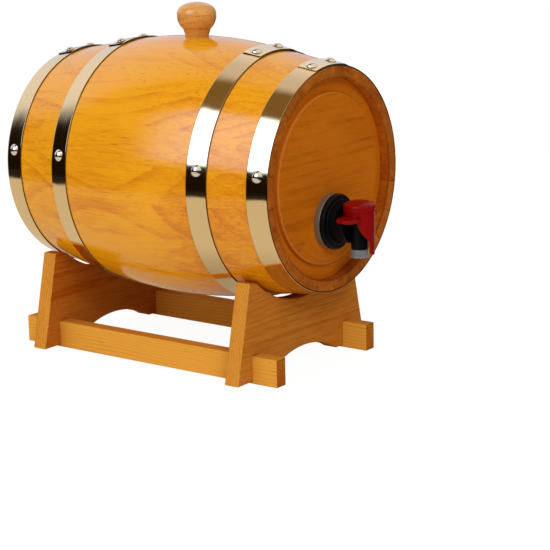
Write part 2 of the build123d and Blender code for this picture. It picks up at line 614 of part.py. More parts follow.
def seat(front_face):
    """Round cut for the barrel: it bears on the horns' shoulders and clears the bottom of the seat."""
    widest = widest_at(front_face)
    shoulder = sqrt((widest + CRADLE_GAP) ** 2 - (AXIS_HEIGHT - HORN_TOP) ** 2)
    bottom = AXIS_HEIGHT - widest - SEAT_RELIEF
    depth = HORN_TOP - bottom
    radius = (shoulder**2 + depth**2) / (2 * depth)
    return rod(radius, front_face - CUT, front_face + BOARD_THICKNESS + CUT, bottom + radius)


def board(front_face):
    """Cradle board: splayed sides, horns round the barrel's seat, an arch and two rail notches below."""
    corners = [
        (-FOOT_OUTSIDE, BOARD_LIFT), (FOOT_OUTSIDE, BOARD_LIFT),
        (HORN_OUTSIDE, HORN_TOP), (-HORN_OUTSIDE, HORN_TOP),
    ]
    blank = extrude(Plane.XZ * make_face(Polyline(*corners, corners[0])), BOARD_THICKNESS)
    blank = Pos(0, front_face + BOARD_THICKNESS, 0) * blank
    blank -= seat(front_face)
    shoulders = blank.edges().filter_by(Axis.Y).filter_by(
        lambda e: abs(e.center().Z - HORN_TOP) < 0.01 and abs(e.center().X) < HORN_OUTSIDE - HORN_LAND / 2
    )
    blank = fillet(shoulders, SHOULDER_ROUND)
    arch_half_width = RAIL_OUTSIDE - RAIL_WIDTH - ARCH_FOOT
    arch_radius = (arch_half_width**2 + ARCH_HEIGHT**2) / (2 * ARCH_HEIGHT)
    arch_middle = BOARD_LIFT + ARCH_HEIGHT - arch_radius
    blank -= rod(arch_radius, front_face - CUT, front_face + BOARD_THICKNESS + CUT, arch_middle)
    for side in (-1, 1):
        blank -= rail(side)
    return blank


def rail(side):
    """Straight bearer that runs through both boards and stands on the table."""
    x = side * (RAIL_OUTSIDE - RAIL_WIDTH / 2)
    length = RAIL_REAR - RAIL_FRONT
    return Pos(x, (RAIL_FRONT + RAIL_REAR) / 2, RAIL_HEIGHT / 2) * Box(RAIL_WIDTH, length, RAIL_HEIGHT)


def rounded_rail(side):
    """The same bearer with its ends' edges rounded."""
    bar = rail(side)
    return fillet(bar.edges().filter_by(Plane.XZ), RAIL_ROUND)


def parts():
    """Every node's name and solid, in the frame of depths."""
    yield from staves()
    yield "front_head", front_head()
    yield "rear_head", rear_head()
    for name, edges in HOOPS.items():
        yield name, hoop(edges)
        yield name.replace("hoop", "rivets"), Compound([rivet(angle, edges) for angle in RIVET_ANGLES])
    yield "bung", bung()
    yield "foil_liner", foil_liner()
    yield "tap_gland", tap_gland()
    yield "filler_gland", filler_gland()
    yield "tap_ring", tap_ring()
    yield "tap_body", tap_body()
    yield "spigot_seal", seal_ring()
    yield "nozzle_insert", nozzle_insert()
    yield "grip_collar", grip_collar()
    yield "button", button()
    yield "valve_stem", valve_stem()
    yield "poppet_seal", poppet_seal()
    yield "return_diaphragm", return_diaphragm()
    yield "front_board", board(FRONT_BOARD_INSET)
    yield "rear_board", board(REAR_BOARD_FACE)
    yield "left_rail", rounded_rail(-1)
    yield "right_rail", rounded_rail(1)


os.makedirs("parts", exist_ok=True)
for name, solid in parts():
    export_step(Pos(0, -CENTRE_DEPTH, 0) * solid, f"parts/{name}.step")
print("origin depth", round(CENTRE_DEPTH, 3), "taper", round(degrees(TAPER), 3))
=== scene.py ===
"""Looks of the table-top cask dispenser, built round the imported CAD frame.

Sizes are in millimetres until a mesh is made. Depths run along the barrel from its front rim. The floor, the
lamp and the camera are placed in metres.
"""
import math
import random

import bmesh
import bpy
from mathutils import Matrix, Vector


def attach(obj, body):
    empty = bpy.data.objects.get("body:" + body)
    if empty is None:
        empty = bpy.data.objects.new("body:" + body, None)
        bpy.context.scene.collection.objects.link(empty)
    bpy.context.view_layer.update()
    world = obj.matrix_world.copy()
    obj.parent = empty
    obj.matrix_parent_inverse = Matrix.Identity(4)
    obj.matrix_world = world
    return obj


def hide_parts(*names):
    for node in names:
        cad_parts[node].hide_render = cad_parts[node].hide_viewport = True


MM = 0.001

# ---- sizes, as in the CAD source
BARREL_LENGTH = 240.6
END_RADIUS = 80.0
BULGE_RADIUS = 95.8
BELLY_HALF = 58.0
STAVE_THICKNESS = 8.5
STAVE_COUNT = 22
STAVE_TURN = 6.5
RIM_CHAMFER = 1.2
AXIS_HEIGHT = 139.5
CENTRE_DEPTH = 106.75
HEAD_DEPTH = 8.5
HEAD_THICKNESS = 8.0
PANEL_RADIUS = 61.4
PANEL_RISE = 4.0
CROZE_WIDTH = 4.0
CROZE_DEPTH = 2.5
WOOD_FIT = 0.1
HOOP_THICKNESS = 0.8
LAP_START = -10.0
LAP_END = 14.6
LAP_RAMP = 5.0
LAP_UNDERCUT = 0.6
HOOPS = {
    "front_chime": (0.0, 15.6),
    "front_quarter": (46.1, 61.5),
    "rear_quarter": (172.0, 187.4),
    "rear_chime": (225.0, 240.6),
}
RIVET_ANGLES = (10.5, -5.5, 80.3, -75.0)
RIVET_HEAD_RADIUS = 4.2
RIVET_HEAD_HEIGHT = 2.4
RIVET_SHANK_RADIUS = 1.4
RIVET_SHANK_LENGTH = 4.5
BUNG_HOLE_RADIUS = 8.8
BUNG_NECK_RADIUS = 8.5
BUNG_FLARE_RADIUS = 10.1
BUNG_FLARE_RISE = 5.2
BUNG_KNOB_RADIUS = 14.4
BUNG_KNOB_RISE = 14.9
BUNG_HEIGHT = 24.7
BUNG_SHOULDER = 7.5
FILLER_DROP = 3.5
PLUG_RADIUS = 7.2
PLUG_DRAFT = 0.5
PLUG_LENGTH = 12.0
TAP_DROP = 30.2
HEAD_HOLE_RADIUS = 17.3
BOARD_THICKNESS = 12.2
BOARD_LIFT = 1.8
FRONT_BOARD_DEPTH = 28.8
REAR_BOARD_DEPTH = 212.1
CRADLE_GAP = 0.3
SEAT_RELIEF = 1.8
SEAT_HALF_ANGLE = 40.3
HORN_LAND = 7.0
BOARD_SPLAY = 16.3
SHOULDER_ROUND = 11.0
ARCH_HEIGHT = 12.0
ARCH_FOOT = 8.8
RAIL_WIDTH = 10.9
RAIL_HEIGHT = 20.1
RAIL_INSET = 17.5
RAIL_FRONT = 8.2
RAIL_REAR = 246.1

# ---- fine form
CREASE_ANGLE = 38.0  # faces that meet at more than this keep a sharp edge
ARRIS_SUPPORT = 0.4  # strip beside an arris that keeps the flat face's shading flat
STAND_ARRIS = 0.6
STAVE_JOINT = 0.005  # degrees from the stave's nominal edge
STAVE_EDGE = 0.1  # degrees, strip beside a joint
STAVE_END_ROUND = 0.35
STAVE_STEP = 4.0
STAVE_RIM_STATIONS = (4.0, 8.0)
STAVE_BELLY_START = 20.0
CROZE_LEAN = 0.02
HEAD_PLAY = 0.05
HEAD_ARRIS = 0.2
HEAD_BACK_ARRIS = 0.4
PANEL_LEAN = 0.3
PANEL_ROUND = 1.3
PANEL_FOOT_ROUND = 0.5
HOOP_ARRIS = 0.28
HOOP_FIT = 0.02
HOOP_STEP = 1.8  # degrees
HOOP_SETBACK = 0.2  # degrees
RAMP_STEPS = 8
LAP_STEP = 1.5  # degrees
LAP_STEPS = 14
RIVET_LIP = 0.25
RIVET_LIP_RISE = 0.18
NOTCH_GAP = 0.15
BUNG_SEAM_DEPTH = 0.35
BUNG_SEAM_ROWS = (0.25, 0.5, 0.8)
FACE_DEPTH = 0.3  # how far from a sawn end or face its own tone reaches
MITRE_LIMIT = 0.5
BUNG_DRILL_RISE = 5.0  # over the barrel's top
HEAD_DRILL = (-1, 30)  # from the rim inwards
HEAD_SEGMENTS = 128
TAP_HOLE_SEGMENTS = 96
BUNG_SEGMENTS = 96
BUNG_HOLE_SEGMENTS = 64
RIVET_SEGMENTS = 40

# ---- where the log's heart lies from a piece, in millimetres, and how far its grain runs out of line
FRONT_HEAD_HEART = 40
REAR_HEAD_HEART = -25
BUNG_HEART = (80, 8)
BUNG_SLANT = 0.4
BOARD_SLANT = 0.03

# ---- tones: how much darker (or, below zero, lighter) than its wood a place is
# painted shade on the staves: darker towards the front, most of all low down
FRONT_PAINTED_SHADE = 0.15
FRONT_LOW_PAINTED_SHADE = 0.5
SHADE_DEPTH = 95.0
SHADE_RISE = 25.0
SHADE_FADE = 30.0
PANEL_TONE = 0.05
# painted light: the head outside its panel, in the recess that the rim shades, is made lighter
HEAD_RECESS_PAINTED_LIGHT = -0.3
BOARD_TONE = 0.10
# painted shade on the rear board's face under the barrel
SHELTERED_PAINTED_SHADE = 0.28
RAIL_END_TONE = 0.25
LEFT_RAIL_TONE = -0.3
# painted light: the right rail, in the barrel's shadow, is lifted
RIGHT_RAIL_PAINTED_LIGHT = -0.2
BUNG_NECK_TONE = 0.55
BUNG_TOP_TONE = 0.05

MIDDLE = BARREL_LENGTH / 2
BARREL_TOP = AXIS_HEIGHT + BULGE_RADIUS
FILLER_TOP = BARREL_TOP - FILLER_DROP
CROZE_MIDDLE = HEAD_DEPTH + HEAD_THICKNESS / 2


# ---- the barrel's form
def taper_angle():
    """Slope of the conical ends, tangent to the curved belly."""
    rise = BULGE_RADIUS - END_RADIUS
    slope = math.atan(rise / MIDDLE)
    for _ in range(30):
        slope = math.atan((rise - BELLY_HALF * math.tan(slope / 2)) / (MIDDLE - BELLY_HALF))
    return slope


TAPER = taper_angle()
BELLY_CURVE = BELLY_HALF / math.sin(TAPER)


def radius_at(depth):
    """Outside radius of the staves."""
    off = abs(depth - MIDDLE)
    if off >= BELLY_HALF:
        return END_RADIUS + (MIDDLE - off) * math.tan(TAPER)
    return BULGE_RADIUS - BELLY_CURVE + math.sqrt(BELLY_CURVE**2 - off**2)


def on_barrel(angle, radius, depth):
    """Point at an angle from the top, positive towards -X."""
    turn = math.radians(angle)
    return Vector((-radius * math.sin(turn), depth - CENTRE_DEPTH, AXIS_HEIGHT + radius * math.cos(turn)))


# ---- outlines
def soften(corners, steps=4, support=0.3):
    """Closed outline with rounded corners, from (x, y, radius).

    Long straight runs get a point near each end.
    """
    points = []
    for number, (x, y, radius) in enumerate(corners):
        here = Vector((x, y))
        if radius == 0:
            points.append(here)
            continue
        back = (Vector(corners[number - 1][:2]) - here).normalized()
        ahead = (Vector(corners[(number + 1) % len(corners)][:2]) - here).normalized()
        half = back.angle(ahead) / 2
        centre = here + (back + ahead).normalized() * (radius / math.sin(half))
        start = here + back * (radius / math.tan(half)) - centre
        end = here + ahead * (radius / math.tan(half)) - centre
        first = math.atan2(start.y, start.x)
        sweep = (math.atan2(end.y, end.x) - first + math.pi) % math.tau - math.pi
        for step in range(steps + 1):
            turn = first + sweep * step / steps
            points.append(centre + Vector((math.cos(turn), math.sin(turn))) * radius)
    full = []
    for number, here in enumerate(points):
        full.append(here)
        run = points[(number + 1) % len(points)] - here
        if run.length > 5 * support:
            full.append(here + run.normalized() * support)
            full.append(here + run - run.normalized() * support)
    return [(p.x, p.y) for p in full]


def share(value):
    """Value held between 0 and 1."""
    return min(1.0, max(0.0, value))


def arc(centre, radius, start, end, steps):
    """Points on an arc between two angles in degrees."""
    turns = [math.radians(start + (end - start) * step / steps) for step in range(steps + 1)]
    return [(centre[0] + radius * math.cos(t), centre[1] + radius * math.sin(t)) for t in turns]


def inset(outline, amount):
    """Closed anticlockwise outline moved inwards."""
    moved = []
    for number, here in enumerate(outline):
        here = Vector(here)
        back = (here - Vector(outline[number - 1])).normalized()
        ahead = (Vector(outline[(number + 1) % len(outline)]) - here).normalized()
        inward = Vector((-back.y, back.x)) + Vector((-ahead.y, ahead.x))
        inward.normalize()
        lean = max(MITRE_LIMIT, inward.dot(Vector((-back.y, back.x))))
        moved.append(tuple(here + inward * (amount / lean)))
    return moved


# ---- meshes
class Shape:
    """Vertices and faces in millimetres, gathered before they become one mesh."""

    def __init__(self):
        self.points = []
        self.faces = []

    def ring(self, points):
        """Adds points and returns their numbers."""
        first = len(self.points)
        self.points.extend(Vector(p) for p in points)
        return list(range(first, len(self.points)))

    def bridge(self, a, b):
        """Faces between two rings; a ring of one point is a pole."""
        count = max(len(a), len(b))
        for k in range(count):
            n = (k + 1) % count
            corners = [a[k % len(a)], a[n % len(a)], b[n % len(b)], b[k % len(b)]]
            face = list(dict.fromkeys(corners))
            if len(face) > 2:
                self.faces.append(face)

    def cap(self, ring):
        """One flat face over a ring."""
        self.faces.append(list(ring))

    def lathe(self, outline, place, segments):
        """Closed outline of (radius, height) turned about +Z, then put in place."""
        rings = []
        for radius, height in outline:
            if radius < 1e-6:
                rings.append(self.ring([place @ Vector((0, 0, height))]))
                continue
            turns = [math.tau * k / segments for k in range(segments)]
            rings.append(self.ring(
                place @ Vector((radius * math.cos(t), radius * math.sin(t), height)) for t in turns
            ))
        for number, ring in enumerate(rings):
            after = rings[(number + 1) % len(rings)]
            if len(ring) > 1 or len(after) > 1:
                self.bridge(ring, after)

    def slab(self, outline, place, high, arris, steps=3):
        """Outline of (x, y) raised from zero to a height, with rounded arrises, then put in place."""
        levels = []
        for step in range(steps + 1):
            turn = math.pi / 2 * step / steps
            levels.append((arris * (1 - math.sin(turn)), arris * (1 - math.cos(turn))))
        rows = [(arris + ARRIS_SUPPORT, 0)] + levels
        rows += [(amount, high - rise) for amount, rise in reversed(levels)]
        rows += [(arris + ARRIS_SUPPORT, high)]
        rings = [
            self.ring(place @ Vector((x, y, height)) for x, y in inset(outline, amount))
            for amount, height in rows
        ]
        for a, b in zip(rings, rings[1:]):
            self.bridge(a, b)
        self.cap(rings[0])
        self.cap(rings[-1])


def finish_mesh(mesh):
    """Outward normals, smooth faces, and sharp edges where two faces meet at more than CREASE_ANGLE."""
    work = bmesh.new()
    work.from_mesh(mesh)
    bmesh.ops.recalc_face_normals(work, faces=work.faces)
    for face in work.faces:
        face.smooth = True
    for edge in work.edges:
        if len(edge.link_faces) == 2:
            edge.smooth = edge.calc_face_angle(0.0) < math.radians(CREASE_ANGLE)
    work.to_mesh(mesh)
    work.free()


def make_mesh(name, shape):
    """Mesh in metres from a shape."""
    mesh = bpy.data.meshes.new(name)
    mesh.from_pydata([p * MM for p in shape.points], [], shape.faces)
    finish_mesh(mesh)
    return mesh


def make_piece(name, shape, material, body, nodes, grain=None, tone=None):
    """One object from a shape that stands for CAD nodes.

    For wood, grain turns a point in millimetres into (across, through, along) the grain, and tone gives how
    dark the wood is there, painted shade and painted light included.
    """
    mesh = make_mesh(name, shape)
    piece = bpy.data.objects.new(name, mesh)
    bpy.context.scene.collection.objects.link(piece)
    if grain:
        values = [component for point in shape.points for component in grain(point)]
        mesh.attributes.new("grain", "FLOAT_VECTOR", "POINT").data.foreach_set("vector", values)
        tones = [tone(point) for point in shape.points]
        mesh.attributes.new("tone", "FLOAT", "POINT").data.foreach_set("value", tones)
    mesh.materials.append(material)
    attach(piece, body)
    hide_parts(*nodes)
    return piece


def drill(piece, radius, low, high, place, segments):
    """Bores a round hole along a place's +Z between two heights and keeps the result as the piece's mesh."""
    shape = Shape()
    shape.lathe([(0, low), (radius, low), (radius, high), (0, high)], place, segments)
    mesh = make_mesh("cutter", shape)
    cutter = bpy.data.objects.new("cutter", mesh)
    bpy.context.scene.collection.objects.link(cutter)
    modifier = piece.modifiers.new("hole", "BOOLEAN")
    modifier.object = cutter
    modifier.solver = "EXACT"
    bpy.context.view_layer.update()
    seen = piece.evaluated_get(bpy.context.evaluated_depsgraph_get())
    result = bpy.data.meshes.new_from_object(seen)
    piece.modifiers.clear()
    piece.data = result
    finish_mesh(result)
    bpy.data.objects.remove(cutter)
    bpy.data.meshes.remove(mesh)


# ---- node graphs
class Graph:
    """Short forms for building a node tree."""

    def __init__(self, owner):
        owner.use_nodes = True
        self.tree = owner.node_tree
        self.tree.nodes.clear()

    def add(self, kind, feeds=None, **settings):
        """New node, with its settings and with values or sockets fed to its inputs."""
        node = self.tree.nodes.new("ShaderNode" + kind)
        for key, value in settings.items():
            setattr(node, key, value)
        for key, value in (feeds or {}).items():
            self.feed(node.inputs[key], value)
        return node

    def feed(self, socket, value):
        """Links a socket to an input, or sets the input to a constant."""
        if isinstance(value, bpy.types.NodeSocket):
            self.tree.links.new(value, socket)
        else:
            socket.default_value = value

    def math(self, operation, a, b=0.0, c=0.0, clamp=False):
        """One operation on up to three values."""
        return self.add("Math", {0: a, 1: b, 2: c}, operation=operation, use_clamp=clamp).outputs[0]

    def product(self, first, *others):
        """Values multiplied together."""
        for value in others:
            first = self.math("MULTIPLY", first, value)
        return first

    def total(self, first, *others):
        """Values added together."""
        for value in others:
            first = self.math("ADD", first, value)
        return first

    def vector(self, operation, *vectors):
        """One operation on vectors."""
        return self.add("VectorMath", dict(enumerate(vectors)), operation=operation).outputs[0]

    def tinted(self, amount, colour):
        """Colour times an amount, which may pass one."""
        return self.add("VectorMath", {0: colour, "Scale": amount}, operation="SCALE").outputs[0]

    def scaled(self, vector, x, y, z):
        """Vector times a factor for each axis."""
        return self.vector("MULTIPLY", vector, (x, y, z))

    def noise(self, vector, scale=1.0, detail=3.0, roughness=0.5):
        """Soft noise between 0 and 1."""
        feeds = {"Vector": vector, "Scale": scale, "Detail": detail, "Roughness": roughness}
        return self.add("TexNoise", feeds).outputs[0]

    def swing(self, noise, amount):
        """A noise made to swing about zero, times an amount."""
        return self.math("MULTIPLY", self.math("SUBTRACT", noise, 0.5), amount)

    def ease(self, value, start, end, low=0.0, high=1.0):
        """Smooth step of a value from start to end."""
        feeds = {0: value, 1: start, 2: end, 3: low, 4: high}
        return self.add("MapRange", feeds, interpolation_type="SMOOTHSTEP").outputs[0]

    def ramp(self, factor, *stops):
        """Grey value of a factor through (position, value) stops."""
        node = self.add("ValToRGB", {0: factor})
        band = node.color_ramp
        while len(band.elements) < len(stops):
            band.elements.new(1.0)
        for element, (position, value) in zip(band.elements, stops):
            element.position = position
            element.color = (value, value, value, 1)
        return node.outputs[0]

    def mix(self, factor, a, b):
        """Colour between two colours or colour sockets."""
        node = self.add("Mix", data_type="RGBA")
        self.feed(node.inputs[0], factor)
        self.feed(node.inputs[6], a if isinstance(a, bpy.types.NodeSocket) else (*a, 1))
        self.feed(node.inputs[7], b if isinstance(b, bpy.types.NodeSocket) else (*b, 1))
        return node.outputs[2]

    def bump(self, height, distance, strength):
        """Normal of a bumpy face; the distance is in metres."""
        return self.add("Bump", {"Height": height, "Distance": distance, "Strength": strength}).outputs[0]

    def choose(self, which, first, second):
        """The first shader where a factor is zero, the second where it is one."""
        return self.add("MixShader", {0: which, 1: first.outputs[0], 2: second.outputs[0]})

    def finish(self, shader, kind="OutputMaterial"):
        """Links the last shader to the output."""
        self.tree.links.new(shader.outputs[0], self.add(kind).inputs[0])

    def surface(self, feeds):
        """Principled shader on the output."""
        self.finish(self.add("BsdfPrincipled", feeds))


def new_material(name):
    """Empty material and its graph."""
    material = bpy.data.materials.new(name)
    return material, Graph(material)


def place_in_mm(g):
    """Object coordinates in millimetres."""
    return g.scaled(g.add("TexCoord").outputs["Object"], 1000, 1000, 1000)


def end_grain(g, ends, colour, deep, amount, tone, grain, ring, here, reach, facing):
    """The staves' sawn ends, inner walls and painted shade beside the hoops' edges, as colour and dullness.
    """
    inner_light, inner_dark, face_light, face_dark = ends
    inside = g.ease(reach, END_RADIUS - 1.0, END_RADIUS - 2.0)
    colour = g.mix(inside, colour, g.mix(amount, inner_light, inner_dark))
    gap = BARREL_LENGTH
    for hoop_edge in (edge for edges in HOOPS.values() for edge in edges):
        off = g.math("ABSOLUTE", g.math("SUBTRACT", here.outputs[1], hoop_edge - CENTRE_DEPTH))
        gap = g.math("MINIMUM", off, gap)
    # painted shade on the wood in a thin strip beside each hoop edge
    seam = g.product(g.ease(gap, 0.75, 0.2), g.ease(reach, END_RADIUS - 1.2, END_RADIUS - 0.4), 0.8)
    colour = g.mix(seam, colour, deep)
    speck = g.noise(g.scaled(grain, 0.9, 0.9, 0.3), detail=4, roughness=0.65)
    blotch = g.noise(g.scaled(grain, 0.11, 0.11, 0.02), detail=2)
    shade = g.total(g.swing(speck, 0.9), g.product(tone, 1.5), g.swing(blotch, 1.2), g.product(ring, 0.2))
    shade = g.math("ADD", shade, 0.42, clamp=True)
    sawn = g.ease(facing.outputs[1], 0.4, 0.6)
    colour = g.mix(sawn, colour, g.mix(shade, face_light, face_dark))
    return colour, g.math("MAXIMUM", sawn, inside)


def wood(name, light, dark, deep, ring_gap, rings, streaks, fibres, dashes=0.35, clouds=0.5, steady=0.0,
         fineness=1.0, roughness=0.4, coat=1.0, gloss=0.1, face=0.0, ends=None, painted_edge_radius=None):
    """Lacquered softwood. Its coordinates are (across, through, along) the grain in millimetres.

    steady keeps the ring lines from fading. face is painted shade: it darkens whatever doesn't look sideways
    and calms the lines there. ends holds the colours of the staves' inner walls and sawn ends. The edge
    radius, given last, places a painted highlight round a rounded edge and painted shade towards the bottom.
    """
    material, g = new_material(name)
    grain = g.add("Attribute", attribute_name="grain").outputs["Vector"]
    tone = g.add("Attribute", attribute_name="tone").outputs["Fac"]
    axes = g.add("SeparateXYZ", {0: grain})

    # year rings: distance from the log's heart, swaying along the board
    sway = g.swing(g.noise(g.scaled(grain, 0.02, 0.02, 0.005), detail=2), 22.0)
    across, through = g.math("ADD", axes.outputs[0], sway), axes.outputs[1]
    squares = g.total(g.product(across, across), g.product(through, through))
    ring = g.math("FRACT", g.math("DIVIDE", g.math("SQRT", squares), ring_gap))
    ring = g.ramp(ring, (0.0, 0.0), (0.55, 0.15), (0.82, 0.75), (0.92, 1.0), (1.0, 0.0))
    fade = g.ease(g.noise(g.scaled(grain, 0.03, 0.03, 0.004), detail=2), 0.35, 0.7, steady, 1.0)

    # finer pattern along the grain
    broad = 0.28 * fineness
    fibre = g.noise(g.scaled(grain, fineness, fineness, 0.05), detail=5, roughness=0.65)
    streak = g.noise(g.scaled(grain, broad, broad, 0.008), detail=4, roughness=0.6)
    cloud = g.noise(g.scaled(grain, 0.03, 0.03, 0.012), detail=2)
    cluster = g.ease(g.noise(g.scaled(grain, 0.06, 0.06, 0.012), detail=1), 0.44, 0.60)
    pits = g.ease(g.noise(g.scaled(grain, 1.2, 1.2, 0.08), detail=2), 0.62, 0.72)

    # how dark the wood is; with face set, faces that don't look sideways get painted shade, tops and
    # undersides most
    facing = g.add("SeparateXYZ", {0: g.vector("ABSOLUTE", g.add("TexCoord").outputs["Normal"])})
    turned = g.product(g.math("SUBTRACT", 1.0, facing.outputs[0]), face)
    amount = g.product(ring, fade, g.math("MULTIPLY_ADD", turned, -1.5, 1.0), rings)
    if face:
        sloped = g.ease(facing.outputs[2], 0.08, 0.16)
        amount = g.product(amount, g.math("MULTIPLY_ADD", sloped, -0.6, 1.0))
        amount = g.math("MULTIPLY_ADD", sloped, 0.2, amount)
    pattern = g.total(g.swing(fibre, fibres), g.swing(streak, streaks), g.swing(cloud, clouds))
    amount = g.total(amount, pattern, turned)
    here = g.add("SeparateXYZ", {0: place_in_mm(g)})
    aside, height = here.outputs[0], g.math("SUBTRACT", here.outputs[2], AXIS_HEIGHT)
    # painted shade: darker towards the bottom
    if painted_edge_radius:
        amount = g.total(amount, g.ease(height, -20, -60, 0.0, 0.25))
    amount = g.math("ADD", amount, tone, clamp=True)

    # colours
    reach = g.math("SQRT", g.total(g.product(aside, aside), g.product(height, height)))
    colour = g.mix(amount, light, dark)
    colour = g.mix(g.product(pits, cluster, dashes), colour, deep)
    # painted highlight along the rounded edge at that radius, broken up by the fibres
    if painted_edge_radius:
        edge = g.product(g.ease(reach, painted_edge_radius - 1.2, painted_edge_radius - 0.6), g.ease(reach, painted_edge_radius + 0.2, painted_edge_radius - 0.1),
                         g.ease(fibre, 0.35, 0.65, 0.15, 0.5))
        colour = g.mix(edge, colour, PAINTED_EDGE_HIGHLIGHT)
    if ends:
        colour, dull = end_grain(g, ends, colour, deep, amount, tone, grain, ring, here, reach, facing)
        coat = g.product(g.math("SUBTRACT", 1.0, dull), coat)
        roughness = g.ease(dull, 0.0, 1.0, roughness, 0.55)

    wave = g.noise(g.scaled(grain, 0.12, 0.12, 0.03), detail=1)
    normal = g.bump(g.total(g.product(fibre, 0.25), wave), 0.00012, 0.6)
    g.surface({
        "Base Color": colour, "Roughness": roughness, "Specular IOR Level": 0.0, "Normal": normal,
        "Coat Normal": normal, "Coat Weight": coat, "Coat Roughness": gloss, "Coat IOR": 1.55,
    })
    return material


def metal(name, colour, roughness, scratch=0.06, metallic=1.0, edges=0.0):
    """Polished plate with faint brushing and slight waviness.

    edges is how dark the painted shade makes the faces that look along the barrel, which are the plate's cut
    edges; the lap's end, which looks round the barrel, gets painted shade too.
    """
    material, g = new_material(name)
    place = place_in_mm(g)
    brushing = g.noise(g.scaled(place, 0.02, 1.2, 0.02), detail=4, roughness=0.6)
    waves = g.noise(place, scale=0.05, detail=1)
    smudge = g.noise(place, scale=0.09, detail=3)
    wear = g.total(g.product(brushing, 0.6), g.product(smudge, 0.4))
    rough = g.ease(wear, 0.3, 0.7, roughness - scratch / 2, roughness + scratch / 2)
    tint = g.mix(g.product(smudge, 0.12), colour, tuple(c * 0.75 for c in colour))
    if edges:
        outward = g.scaled(g.vector("SUBTRACT", place, (0, 0, AXIS_HEIGHT)), 1, 0, 1)
        outward = g.vector("NORMALIZE", outward)
        looks = g.add("TexCoord").outputs["Normal"]
        facing = g.add("VectorMath", {0: outward, 1: looks}, operation="DOT_PRODUCT").outputs["Value"]
        sideways = g.math("ABSOLUTE", g.add("SeparateXYZ", {0: looks}).outputs[1])
        # painted shade on the cut edges and on the lap's end
        dark = g.product(g.ease(facing, 0.9, 0.5), g.ease(sideways, 0.2, 0.6, 0.55, edges))
        tint = g.mix(dark, tint, CUT_EDGE_PAINTED_SHADE)
    normal = g.bump(g.total(g.product(brushing, 0.03), waves), 0.0004, 0.5)
    g.surface({"Base Color": tint, "Metallic": metallic, "Roughness": rough, "Normal": normal})
    return material


def plastic(name, colour, roughness, coat=0.4, speckle=0.03):
    """Moulded plastic with a faint flow pattern in its gloss."""
    material, g = new_material(name)
    place = place_in_mm(g)
    flow = g.noise(place, scale=0.12, detail=2)
    fine = g.noise(place, scale=3.5, detail=2)
    tint = g.mix(g.product(flow, 0.35), colour, tuple(c * 0.8 for c in colour))
    rough = g.ease(flow, 0.3, 0.7, roughness - speckle, roughness + speckle)
    g.surface({
        "Base Color": tint, "Roughness": rough, "Normal": g.bump(fine, 0.00003, 0.3),
        "Specular IOR Level": 0.13, "Coat Weight": coat, "Coat Roughness": 0.08,
    })
    return material


def milky(name, colour):
    """Cloudy clear moulding that lets some light through."""
    material, g = new_material(name)
    cloud = g.noise(place_in_mm(g), scale=0.4, detail=2)
    tint = g.mix(cloud, colour, tuple(min(1.0, c * 1.25) for c in colour))
    g.surface({
        "Base Color": tint, "Roughness": 0.25, "Transmission Weight": 0.45, "IOR": 1.45,
        "Subsurface Weight": 0.25, "Subsurface Radius": (0.004, 0.004, 0.005), "Subsurface Scale": 0.5,
        "Coat Weight": 0.5,
    })
    return material


# ---- materials
# colour of the painted highlight on the head panel's rounded edge
PAINTED_EDGE_HIGHLIGHT = (0.72, 0.30, 0.075)
# colour of the painted shade on the hoops' cut edges
CUT_EDGE_PAINTED_SHADE = (0.06, 0.035, 0.015)
STAVE_COLOURS = ((0.87, 0.365, 0.004), (0.66, 0.185, 0.001), (0.24, 0.045, 0.002))
STAVE_ENDS = ((0.62, 0.17, 0.008), (0.36, 0.075, 0.004), (0.50, 0.145, 0.016), (0.24, 0.050, 0.006))
HEAD_COLOURS = ((0.57, 0.148, 0.004), (0.32, 0.060, 0.001), (0.14, 0.024, 0.001))
STAND_COLOURS = ((0.80, 0.37, 0.050), (0.36, 0.064, 0.002), (0.16, 0.030, 0.003))
BUNG_COLOURS = ((0.82, 0.39, 0.085), (0.42, 0.115, 0.008), (0.14, 0.03, 0.004))

STAVE_WOOD = wood(
    "stave_wood", *STAVE_COLOURS, ring_gap=5.0, rings=0.62, streaks=1.0, fibres=2.1, dashes=0.6, clouds=1.3,
    gloss=0.15, ends=STAVE_ENDS,
)
HEAD_WOOD = wood(
    "head_wood", *HEAD_COLOURS, ring_gap=6.0, rings=0.4, streaks=0.8, fibres=1.2, dashes=0.45, clouds=1.4,
    roughness=0.55, coat=0.1, gloss=0.5, painted_edge_radius=PANEL_RADIUS,
)
# face gives the stand painted shade on faces that don't look sideways
STAND_WOOD = wood(
    "stand_wood", *STAND_COLOURS, ring_gap=2.4, rings=0.75, streaks=0.4, fibres=0.7, clouds=0.4, steady=0.7,
    fineness=1.2, gloss=0.25, coat=0.03, face=0.5,
)
BUNG_WOOD = wood("bung_wood", *BUNG_COLOURS, ring_gap=3.2, rings=0.55, streaks=1.0, fibres=1.0)
HOOP_METAL = metal("hoop_metal", (0.86, 0.70, 0.40), 0.08, scratch=0.04, edges=0.95)
RIVET_METAL = metal("rivet_metal", (0.88, 0.85, 0.79), 0.14)
RING_METAL = metal("ring_metal", (0.24, 0.21, 0.155), 0.25, metallic=0.5)
TAP_BLACK = plastic("tap_black", (0.003, 0.003, 0.004), 0.42, coat=0.02, speckle=0.02)
TAP_RED = plastic("tap_red", (0.27, 0.0012, 0.0012), 0.30, coat=0.02)
INSERT_CLEAR = milky("insert_clear", (0.30, 0.30, 0.33))
STEM_PLASTIC = plastic("stem_plastic", (0.75, 0.75, 0.72), 0.4)
GLAND_PLASTIC = plastic("gland_plastic", (0.72, 0.72, 0.70), 0.42)
SEAL_RUBBER = plastic("seal_rubber", (0.02, 0.02, 0.02), 0.6, coat=0.0)
LINER_FOIL = metal("liner_foil", (0.80, 0.80, 0.82), 0.32)

